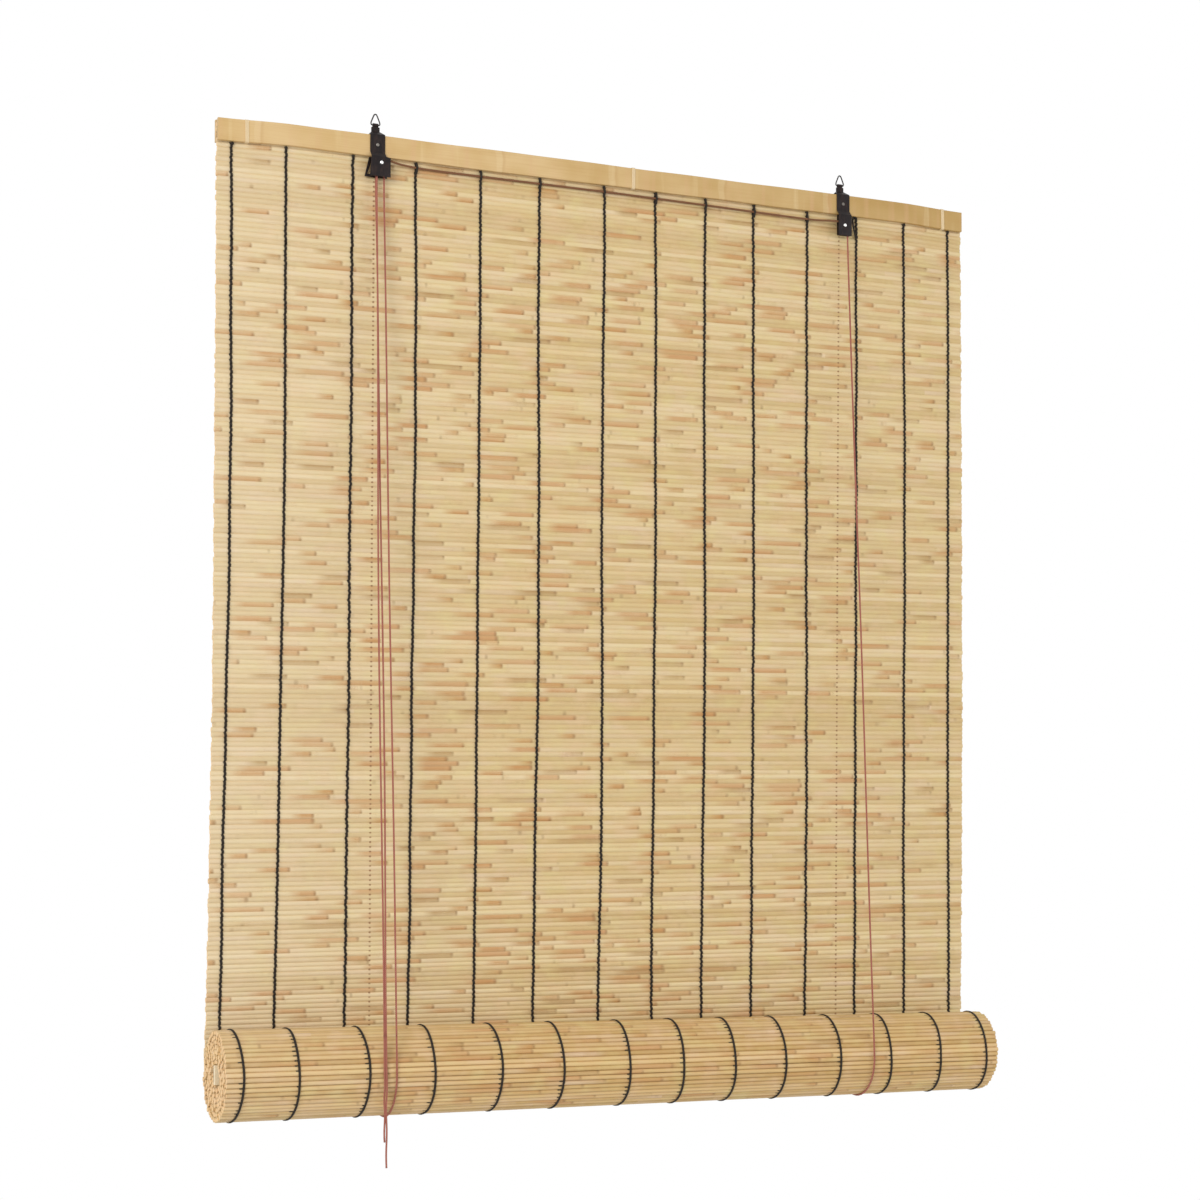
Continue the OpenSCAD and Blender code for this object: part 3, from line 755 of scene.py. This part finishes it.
def lay_reed(bm, bar, rng, x0, x1, centre, bow, flat=1.0, tall=1.0, shift=None):
    """Adds one reed from x0 to x1 with its middle at centre (y, z), in millimetres."""
    marks = [bm.verts.layers.float[m] for m in REED_MARKS]
    count = len(bm.verts)
    bm.from_mesh(bar)
    bm.verts.ensure_lookup_table()
    seed, tone = rng.random(), rng.uniform(-1, 1)
    left, right = x0 + rng.uniform(-0.9, 0.7), x1 + rng.uniform(-0.7, 0.9)
    radius = REED_R * rng.uniform(1.08, 1.2)
    taper = rng.uniform(-0.05, 0.05)
    phase, waves = rng.uniform(0, 6.3), rng.uniform(2.0, 5.0)
    bow = bow if bar is LONG_BAR else 0
    for v in bm.verts[count:]:
        t = v.co.x + 0.5
        r = radius * (1 + taper * (t - 0.5))
        hollow = abs(t - 0.5) > 0.499 and math.hypot(v.co.y, v.co.z) < 0.8
        x = left + (right - left) * t
        if hollow:
            x += HOLLOW if t < 0.5 else -HOLLOW
        wave = bow * math.sin(phase + waves * 2 * math.pi * t)
        turn = bow * 0.6 * math.cos(phase * 1.7 + waves * 5.1 * t)
        height = centre[1] + wave * 0.5 + (shift(x, centre[1]) if shift else 0)
        for mark, value in zip(marks, (seed, tone, 1.0 if hollow else 0.0, v.co.z)):
            v[mark] = value
        v.co = Vector((x, centre[0] + v.co.y * r * flat + turn, height + v.co.z * r * tall)) * MM


END_ANGLE = 60.0
# the reeds of the mat are pressed flat, and the laths hold the first ones straight
FLAT, TALL, HEAD_BOW, MAT_BOW, ROLL_BOW = 0.8, 1.15, 0.1, 0.26, 0.3
# the slope of the first reed below the still ones, and a lean forwards, into the roll, for what the
# roll takes up
SLOPE, FORWARDS = off_level(HALF, SETTLE_Z) / HALF, 0.0138
TAKEN_UP = {"axis": (-SLOPE, -FORWARDS, 1), "anchor": (0, 0, SETTLE_Z * MM), "keep": 0.004}
rng = random.Random(11)
still, lower = start_reeds(), start_reeds()
for k in range(MAT_REEDS):
    z = MAT_TOP - k * REED_PITCH - REED_R + rng.uniform(-0.2, 0.2)
    bm = still if k < STILL_REEDS else lower
    bow = HEAD_BOW if k < HEAD_REEDS else MAT_BOW
    lay_reed(bm, LONG_BAR, rng, *mat_ends(z), (0, z), bow, FLAT, TALL, off_level)
mat_top = finish_mesh(still, "reed_mat_top", DRY_REED, END_ANGLE)
mat_low = finish_mesh(lower, "reed_mat_low", DRY_REED, END_ANGLE)
for piece in (mat_top, mat_low):
    belongs(piece, "headrail", "reed_mat")
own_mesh(mat_low)
print("mat:", len(mat_top.data.vertices) + len(mat_low.data.vertices), "points")

# %% [markdown]
# ## The roll
# The outer turn is laid from the same long reeds, on a spiral that starts where the mat reaches the
# roll. The turns inside show only at the ends, so their reeds are plain bars. Each reed lies one pitch
# further along the spiral than the one before it, which is a smaller angle on a larger turn.

# %% Roll
ROLL_X0, CORE_R = -459.0, 13.0
# the outer turn goes a little more than once round; the reeds inside it are fatter and sunk by chance
OUTER_END, INNER_SIZE, INNER_SUNK = 372, 1.08, 1.8


def spiral_angles():
    """Angles in degrees of the reeds on the spiral, from the mat inwards."""
    angle = 3.0
    while True:
        radius = ROLL_R - TURN_T * angle / 360
        if radius < CORE_R:
            return
        yield angle, radius
        angle += math.degrees(REED_PITCH / radius)


rng = random.Random(23)
roll = start_reeds()
turns = 0
for angle, radius in spiral_angles():
    bar, sunk, size = LONG_BAR, 0, 1.0
    if angle >= OUTER_END:
        bar, sunk, size = SHORT_BAR, rng.uniform(0, INNER_SUNK), INNER_SIZE
    lay_reed(roll, bar, rng, ROLL_X0 + sunk, ROLL_X0 + BLIND_W - sunk, roll_point(radius, angle), ROLL_BOW,
             size, size)
    turns = angle / 360
for v in roll.verts:
    v.co = wound(v.co / MM) * MM
roll_piece = finish_mesh(roll, "rolled_reeds", ROLLED_REED, END_ANGLE)
belongs(roll_piece, "roll", "reed_roll")
print("roll: %.1f turns, %d points" % (turns, len(roll_piece.data.vertices)))

# %% [markdown]
# ## Strings
# Each black string is two threads that twist between the reeds: one passes in front of a reed while
# the other passes behind it, and they change places in the next gap. Two reeds' worth of that is one
# stitch. An Array modifier repeats the stitch down the mat, and then the points are shifted sideways,
# because a hand-tied string wanders and leans.

# %% String finish and stitch
def thread_finish(name, pale, dark):
    made = Finish(name, 0.9)
    x, y, z = made.place()
    grain = made.noise(made.vector(x * 2200, y * 2200, z * 1500))
    made.colour(made.mix(grain.between(0.35, 0.8), dark, pale))
    made.bump(grain, 0.0004, 0.8)
    return made.material


BLACK_STRING = thread_finish("black_string", tint(60, 48, 36), tint(18, 13, 9))
THREAD_W, THREAD_T, THREAD_OUT, SLANT = 0.0031, 0.0013, REED_R + 0.75, 0.3
# how far along a reed's gap, and how far out of it, the thread is
STITCH = ((0.0, 0.0), (0.18, 0.80), (0.5, 1.0), (0.82, 0.80))


def stitches(count, name):
    """A straight string over count reeds, hanging down from the origin, as a mesh."""
    bm = bmesh.new()
    for face in (-1, 1):
        route = []
        for reed, sign in ((0, face), (1, -face)):
            for t, out in STITCH:
                slant = SLANT * sign * math.cos(math.pi * t)
                route.append(Vector((slant, sign * out * THREAD_OUT, -(reed + t) * REED_PITCH)) * MM)
        route.append(Vector((SLANT * face, 0, -2 * REED_PITCH)) * MM)
        draw_tube(bm, route, THREAD_W, THREAD_T, sides=6)
    unit = finish_mesh(bm, name, BLACK_STRING)
    repeat = unit.modifiers.new("stitches", "ARRAY")
    repeat.count = math.ceil(count / 2)
    repeat.use_relative_offset = False
    repeat.use_constant_offset = True
    repeat.constant_offset_displace = (0, 0, -2 * REED_PITCH * MM)
    bpy.context.view_layer.update()
    shape = bpy.data.meshes.new_from_object(unit.evaluated_get(bpy.context.evaluated_depsgraph_get()))
    bpy.data.objects.remove(unit)
    return shape


# the strings are evenly spread between the first and the last, apart from what each one is off
STRING_OFF = (0, -9, -2, 2, 9, 12, 22, 19, 14, 9, 11, 9, 7, 0)
LEFT_EDGE, RIGHT_EDGE = 16, 17
STRING_STEP = (BLIND_W - LEFT_EDGE - RIGHT_EDGE) / (len(STRING_OFF) - 1)
STRING_X = [LEFT_EDGE - HALF + i * STRING_STEP + off for i, off in enumerate(STRING_OFF)]
LEFT_LEAN, RIGHT_LEAN = -10.0, -3.5
TOP_STITCH = stitches(STILL_REEDS - HEAD_REEDS, "top_stitches")
LOW_STITCH = stitches(MAT_REEDS - STILL_REEDS, "low_stitches")
print("one string:", len(TOP_STITCH.vertices) + len(LOW_STITCH.vertices), "points")

# %% [markdown]
# A string wanders in waves, slow ones and quick ones, and leans towards the roll. Like the mat, it is
# two pieces: the top stays still and the rest has a mesh of its own.

# %% Warp strings
def string_lean(x):
    """How far a string has moved sideways where it reaches the roll."""
    return LEFT_LEAN + (RIGHT_LEAN - LEFT_LEAN) * share(x, -HALF, HALF)


# amplitudes in millimetres and frequencies per millimetre: slow wandering first, then small jitter
STRING_WAVES = (((0.4, 1.1), (0.004, 0.010)), ((0.15, 0.4), (0.015, 0.04)),
                ((0.15, 0.35), (0.1, 0.3)), ((0.12, 0.26), (0.35, 0.9)))
rng = random.Random(5)
for i, x in enumerate(STRING_X):
    waves = [(rng.uniform(*a), rng.uniform(*f), rng.uniform(0, 6.3)) for a, f in STRING_WAVES]
    for part, shape, reed in (("top", TOP_STITCH, HEAD_REEDS), ("low", LOW_STITCH, STILL_REEDS)):
        # the straight string is copied and hung from the gap above its first reed
        mesh, gap_z = shape.copy(), MAT_TOP - reed * REED_PITCH + REED_GAP / 2
        for v in mesh.vertices:
            z = v.co.z / MM + gap_z
            wander = string_lean(x) * hung(z)**2 + sum(a * math.sin(f * z + p) for a, f, p in waves)
            v.co = (v.co.x + (x + wander) * MM, v.co.y, (z + off_level(x, z)) * MM)
        mesh.name = name = "string_%02d_%s" % (i + 1, part)
        piece = put(name, mesh)
        belongs(piece, "headrail", "warp_string_%02d" % (i + 1))
        if part == "low":
            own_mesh(piece)
print("strings hang at", [round(x) for x in STRING_X])

# %% [markdown]
# On the roll each string is a smooth tube on the outer turn: the reeds stand close there, and the
# thread is drawn tight over them. Short dashes of black string lie in the grooves beside each string:
# painted shade, dark bits put where the gaps between the reeds open and lie in shade.

# %% Strings on the roll
def turn_x(x, angle):
    """Where the string that hangs at x lies on the roll at that angle."""
    east = share(x, -HALF, HALF)
    front, below = -math.cos(math.radians(angle)), math.sin(math.radians(angle))
    sway = max(0, front) * (2 - 6.5 * east) + max(0, below) * (4 * east - 1)
    return x + string_lean(x) + sway + 0.5 * math.sin(angle * 0.05 + x)


TURN_W, SHADE_DASH_D, SHADE_DASH_SHARE, SHADE_DASH_OUT = 0.0026, 0.001, 0.55, 1.7
outer = [turn for turn in spiral_angles() if turn[0] < OUTER_END]
rng = random.Random(41)
round_roll = bmesh.new()
for x in STRING_X:
    route = []
    for angle in range(-6, OUTER_END + 1, 6):
        lift = THREAD_OUT + rng.uniform(-0.12, 0.12)
        y, z = roll_point(ROLL_R - TURN_T * max(0, angle) / 360 + lift, angle)
        route.append(wound((turn_x(x, angle), y, z)) * MM)
    draw_tube(round_roll, route, TURN_W, THREAD_T, sides=6)
    # painted shade: short black dashes in the grooves left of each string stand for the shade in the gaps
    # there
    shade_dashes = bmesh.new()
    for (a, radius), (b, _) in zip(outer, outer[1:]):
        if rng.random() < SHADE_DASH_SHARE:
            near = turn_x(x, a)
            y, z = roll_point(radius + SHADE_DASH_OUT, (a + b) / 2)
            ends = [wound((end, y, z)) * MM for end in (near, near - rng.uniform(2.0, 5.0))]
            draw_tube(shade_dashes, ends, SHADE_DASH_D, side=(0, 1, 0), sides=5)
    round_roll.from_mesh(to_mesh(shade_dashes, "shade_dashes"))
string_turns = finish_mesh(round_roll, "string_turns", BLACK_STRING)
belongs(string_turns, "roll", "roll_strings")
print("strings on the roll:", len(string_turns.data.vertices), "points")

# %% [markdown]
# Each string starts in a knot under the head laths, and between the hangers its end passes over the
# cross cord. One string has a loose loop there, which hangs beside the right hanger.

# %% String knots
knots = bmesh.new()
knots.verts.layers.float_vector.new("ply")
KNOT_HALF, KNOT_Y, OVER_W, LOOP_W, LOOP_T = (0.0017, 0.0015, 0.0019), -0.0036, 0.0027, 0.0022, 0.0014
for x in STRING_X:
    made = bmesh.ops.create_icosphere(knots, subdivisions=2, radius=1)["verts"]
    bmesh.ops.scale(knots, vec=KNOT_HALF, verts=made)
    bmesh.ops.translate(knots, vec=(x * MM, KNOT_Y, (LATH_Z - 1.8 - sag(x, LATH_Z)) * MM), verts=made)
for x in STRING_X:
    if not CROSS_RUN[-1][0] < x < CROSS_RUN[0][0]:
        continue
    after = next(i for i, p in enumerate(CROSS_RUN) if p[0] < x)
    (x0, _, z0), (x1, _, z1) = CROSS_RUN[after - 1:after + 1]
    cord_z = RAIL_Z + z0 + (z1 - z0) * (x - x0) / (x1 - x0)
    over = [(x, -3.6, LATH_Z - 1), (x, -5.4, cord_z + 2), (x, -6.1, cord_z), (x, -5.4, cord_z - 2),
            (x, -3.4, cord_z - 6)]
    draw_tube(knots, [Vector(p) * MM for p in smooth_route(over, 1.2)], OVER_W, THREAD_T, sides=6)
LOOSE = STRING_X[11]
loop_points = [(LOOSE + x, y, LATH_Z + z) for x, y, z in (
    (0.2, -3.4, -27), (-2.2, -4.6, -20), (-4.6, -5.2, -11), (-5.4, -5.4, -4), (-3.6, -5.2, -0.6),
    (-0.8, -4.4, -0.8))]
draw_tube(knots, [Vector(p) * MM for p in smooth_route(loop_points, 1.6)], LOOP_W, LOOP_T, sides=6)
string_knots = finish_mesh(knots, "string_knots", BLACK_STRING)
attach(string_knots, "headrail")
print("string knots:", len(STRING_X))

# %% [markdown]
# ## Head laths and bottom lath
# A bamboo lath is split from a thick stalk and planed. Its long edges are eased, and it is never quite
# straight. It starts as a cube: the four long edges are bevelled first, while there are only four of
# them, then it is divided along its length and its points are shifted a little.

# %% Bamboo finish
def bamboo_finish(name, light):
    made = Finish(name, 0.42)
    x, y, z = made.place()
    grain = made.noise(made.vector(x * 9, y * 700, z * 700), 4.0)
    patch = made.noise(made.vector(x * 17, y * 9, z * 22))
    band = made.noise(made.vector(x * 95, 3.0, z * 5), 3.0)
    # painted shade: the east colours are darker, for the weaker light towards the lath's right end
    west = made.mix(patch.between(0.34, 0.66), tint(218, 187, 136), tint(204, 170, 112))
    east = made.mix(patch.between(0.34, 0.66), tint(192, 158, 96), tint(178, 142, 77))
    ring = (x * 7.4 + patch * 0.1).rest()
    made.colour(made.coats(
        made.mix(x.between(-0.2, 0.45), west, east),
        (band.between(0.52, 0.74) * 0.4, tint(212, 168, 126)),
        (band.between(0.40, 0.28) * 0.4, tint(224, 198, 148)),
        ((ring < 0.05) * 0.16, tint(236, 214, 170)),
        ((ring - 0.06).size().between(0.02, 0.0) * 0.22, tint(176, 132, 78)),
        (grain.between(0.45, 0.8) * 0.3, tint(184, 140, 84)),
        # painted light: this pale coat makes the foot lath paler, against the shade in the core of the roll
        (light, tint(250, 234, 200))))
    made.roughness(0.36 + grain * 0.25)
    made.bump(grain, 0.00025, 0.5)
    return made.material


PLANED_BAMBOO, BAMBOO_WITH_PAINTED_LIGHT = bamboo_finish("planed_bamboo", 0.0), bamboo_finish("bamboo_with_painted_light", 0.75)
print("bamboo finish has", len(PLANED_BAMBOO.node_tree.nodes), "nodes")

# %% [markdown]
# The two head laths sag a little at their ends, with the top of the mat. The bottom lath lies in the
# core of the roll, and its ends show; its colour is paler, painted light against the shade in the core.

# %% Laths
LATH_Y, LATH_T, LATH_CUTS, LATH_ANGLE = 2.35, 5.0, 60, 40
FOOT_PROUD, FOOT_HALF_T, FOOT_HALF_H = 0.8, 2.5, 10


def add_lath(name, body, node, low, high, ease, rng, finish=PLANED_BAMBOO):
    """Adds a bamboo lath between two corners, in millimetres, with eased long edges."""
    bm = bmesh.new()
    bmesh.ops.create_cube(bm, size=1)
    low, high = Vector(low), Vector(high)
    bmesh.ops.scale(bm, vec=high - low, verts=bm.verts)
    middle = (low + high) / 2
    bmesh.ops.translate(bm, vec=middle, verts=bm.verts)
    bmesh.ops.bevel(bm, geom=along_x(bm, 1), offset=ease, offset_type="OFFSET", segments=3, profile=0.5,
                    affect="EDGES", material=-1)
    bmesh.ops.subdivide_edges(bm, edges=along_x(bm, 1), cuts=LATH_CUTS, use_grid_fill=True)
    waves = [(rng.uniform(0.05, 0.14), rng.uniform(0.008, 0.07), rng.uniform(0, 6.3)) for _ in range(5)]
    for v in bm.verts:
        lift = sum(a * math.sin(f * v.co.x + q + (2.0 if v.co.z > middle.z else 0)) for a, f, q in waves)
        v.co.z += lift - sag(v.co.x, v.co.z)
    bmesh.ops.scale(bm, vec=(MM, MM, MM), verts=bm.verts)
    lath = finish_mesh(bm, name, finish)
    for face in lath.data.polygons:
        face.use_smooth = abs(face.normal.x) < 0.5
    lath.data.set_sharp_from_angle(angle=math.radians(LATH_ANGLE))
    belongs(lath, body, node)


rng = random.Random(31)
for side, y in (("front", -LATH_Y - LATH_T), ("back", LATH_Y)):
    add_lath("bamboo_lath_" + side, "headrail", "head_lath_" + side, (-HALF, y, LATH_Z),
             (HALF, y + LATH_T, RAIL_Z), 0.7, rng)
foot_low = (ROLL_X0 - FOOT_PROUD, ROLL_Y - FOOT_HALF_T, ROLL_Z - FOOT_HALF_H)
foot_high = (ROLL_X0 + BLIND_W + FOOT_PROUD, ROLL_Y + FOOT_HALF_T, ROLL_Z + FOOT_HALF_H)
add_lath("bamboo_lath_foot", "roll", "bottom_lath", foot_low, foot_high, 0.5, rng, BAMBOO_WITH_PAINTED_LIGHT)
print("laths: two at the head, one at the foot")

# %% [markdown]
# Three pale ties bind the two laths. A tie is four turns of flat twine, side by side, each one a closed
# tube round the laths.

# %% Ties
PALE_TWINE = thread_finish("pale_twine", tint(242, 222, 186), tint(224, 198, 154))
TIE_X = (-420.0, 23.0, 423.0)
TIE_OFF, TIE_W, TIE_T, TIE_CORNER = (-1.5, -0.5, 0.5, 1.5), 0.00105, 0.0006, 1.1
for i, x in enumerate(TIE_X):
    tie = bmesh.new()
    sunk = sag(x, LATH_Z)
    y, top, low, r = LATH_Y + LATH_T + 0.3, RAIL_Z + 0.35 - sunk, LATH_Z - 0.35 - sunk, TIE_CORNER
    bend = r * 0.3
    corners = [(-y, low + r), (-y, top - r), (-y + bend, top - bend), (-y + r, top), (y - r, top),
               (y - bend, top - bend), (y, top - r), (y, low + r), (y - bend, low + bend), (y - r, low),
               (-y + r, low), (-y + bend, low + bend)]
    skew = 0.35 * (1 if i % 2 else -1)
    for off in TIE_OFF:
        route = [Vector((x + off + skew * q / 22, p, q)) * MM for p, q in corners]
        draw_tube(tie, route, TIE_W, TIE_T, sides=6, closed=True)
    binding = finish_mesh(tie, "pale_tie_%d" % (i + 1), PALE_TWINE)
    belongs(binding, "headrail", "head_tie_%02d" % (i + 1))
print("ties at", TIE_X)

# %% [markdown]
# ## Hangers
# The hangers are folded from thin black sheet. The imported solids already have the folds, so a copy of
# each is merged, its flat faces are joined again, and its sharp edges get a small bevel, which catches
# the light as a painted edge does.

# %% Metal finishes
def metal_finish(name, colour, worn_and_sheen, roughness, metallic, gloss=0.5):
    made = Finish(name, roughness, metallic)
    x, y, z = made.place()
    grime_and_sheen = made.noise(made.vector(x * 420, y * 420, z * 160), 4.0)
    # the second colour is wear, and on the black sheet its brown is a painted sheen
    made.colour(made.mix(grime_and_sheen.between(0.45, 0.8), colour, worn_and_sheen))
    made.roughness(roughness - 0.1 + grime_and_sheen * 0.2)
    made.shader.inputs["Specular IOR Level"].default_value = gloss
    made.bump(grime_and_sheen, 0.0001, 0.4)
    return made.material


# painted sheen: the brown blotches on the black sheet
BLACK_SHEET = metal_finish("black_sheet", tint(24, 17, 18), tint(50, 36, 32), 0.45, 0.0, 0.22)
DARK_WIRE = metal_finish("dark_wire", tint(40, 38, 38), tint(76, 72, 68), 0.4, 0.3, 0.3)
DULL_RIVET = metal_finish("dull_rivet", tint(132, 126, 120), tint(78, 72, 68), 0.5, 1.0)
BRIGHT_RIVET = metal_finish("bright_rivet", tint(246, 246, 244), tint(206, 206, 204), 0.22, 1.0)
BROWN_SHEAVE = metal_finish("brown_sheave", tint(78, 48, 34), tint(48, 30, 22), 0.5, 0.0)
print("metal finishes:", BLACK_SHEET.name, DARK_WIRE.name, DULL_RIVET.name, BRIGHT_RIVET.name)

# %% [markdown]
# The rivets and the sheaves are copies too. Each sheave spins with its own body.

# %% Copies with eased edges
BEVEL_ANGLE, SHARP_ANGLE = 30, 28


def eased_copy(node, name, body, material, ease):
    """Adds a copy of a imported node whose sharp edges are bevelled."""
    bm = bmesh.new()
    bm.from_mesh(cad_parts[node].data)
    bmesh.ops.remove_doubles(bm, verts=bm.verts, dist=1e-6)
    bmesh.ops.dissolve_limit(bm, angle_limit=math.radians(1), verts=bm.verts, edges=bm.edges)
    if ease:
        corner = math.radians(BEVEL_ANGLE)
        sharp = [e for e in bm.edges if e.is_manifold and e.calc_face_angle(0) > corner]
        bmesh.ops.bevel(bm, geom=sharp, offset=ease, offset_type="OFFSET", segments=2, profile=0.5,
                        affect="EDGES", clamp_overlap=True, material=-1)
    belongs(finish_mesh(bm, name, material, SHARP_ANGLE), body, node)


for side in HANGER:
    for node, name, material, ease, slot in (
            ("hanger_strap_", "folded_hanger_", BLACK_SHEET, 0.00022, "black_metal"),
            ("pulley_cheek_", "cheek_plate_", BLACK_SHEET, 0.00018, "black_metal"),
            ("lath_rivet_", "lath_rivet_head_", DULL_RIVET, 0, "bright_rivet"),
            ("axle_pin_", "axle_rivet_", BRIGHT_RIVET, 0, "bright_rivet")):
        eased_copy(node + side, name + side, "headrail", material, ease)
for node in ("sheave_left_front", "sheave_left_back", "sheave_right"):
    name = node.replace("sheave", "grooved_sheave")
    eased_copy(node, name, node, BROWN_SHEAVE, 0.00015)
print("hangers and sheaves dressed")

# %% [markdown]
# The hanging rings are bent from one wire: a straight bar in the hanger's curl, two round corners and
# a narrow top. A closed tube along the bent line makes each one.

# %% Hanging rings
RING_Z, WIRE_D = -11.0, 0.0015
EAST = [(3.4, 0), (4.5, 0.5), (4.95, 1.5), (4.9, 2.6), (4.2, 4.6), (2.9, 7.8), (1.75, 10.4), (1.0, 11.5)]
WEST = [(-a, b) for a, b in EAST[::-1]]
BEND = WEST[-1:] + EAST + [(0, 11.85)] + WEST[:-1]
for side, x in HANGER.items():
    ring = bmesh.new()
    line = [Vector((x + a, 0, RING_Z + b)) * MM for a, b in BEND]
    draw_tube(ring, line, WIRE_D, side=(0, 1, 0), closed=True)
    wire = finish_mesh(ring, "wire_ring_" + side, DARK_WIRE)
    belongs(wire, "ring_" + side, "hanging_ring_" + side)
print("rings at", HANGER)
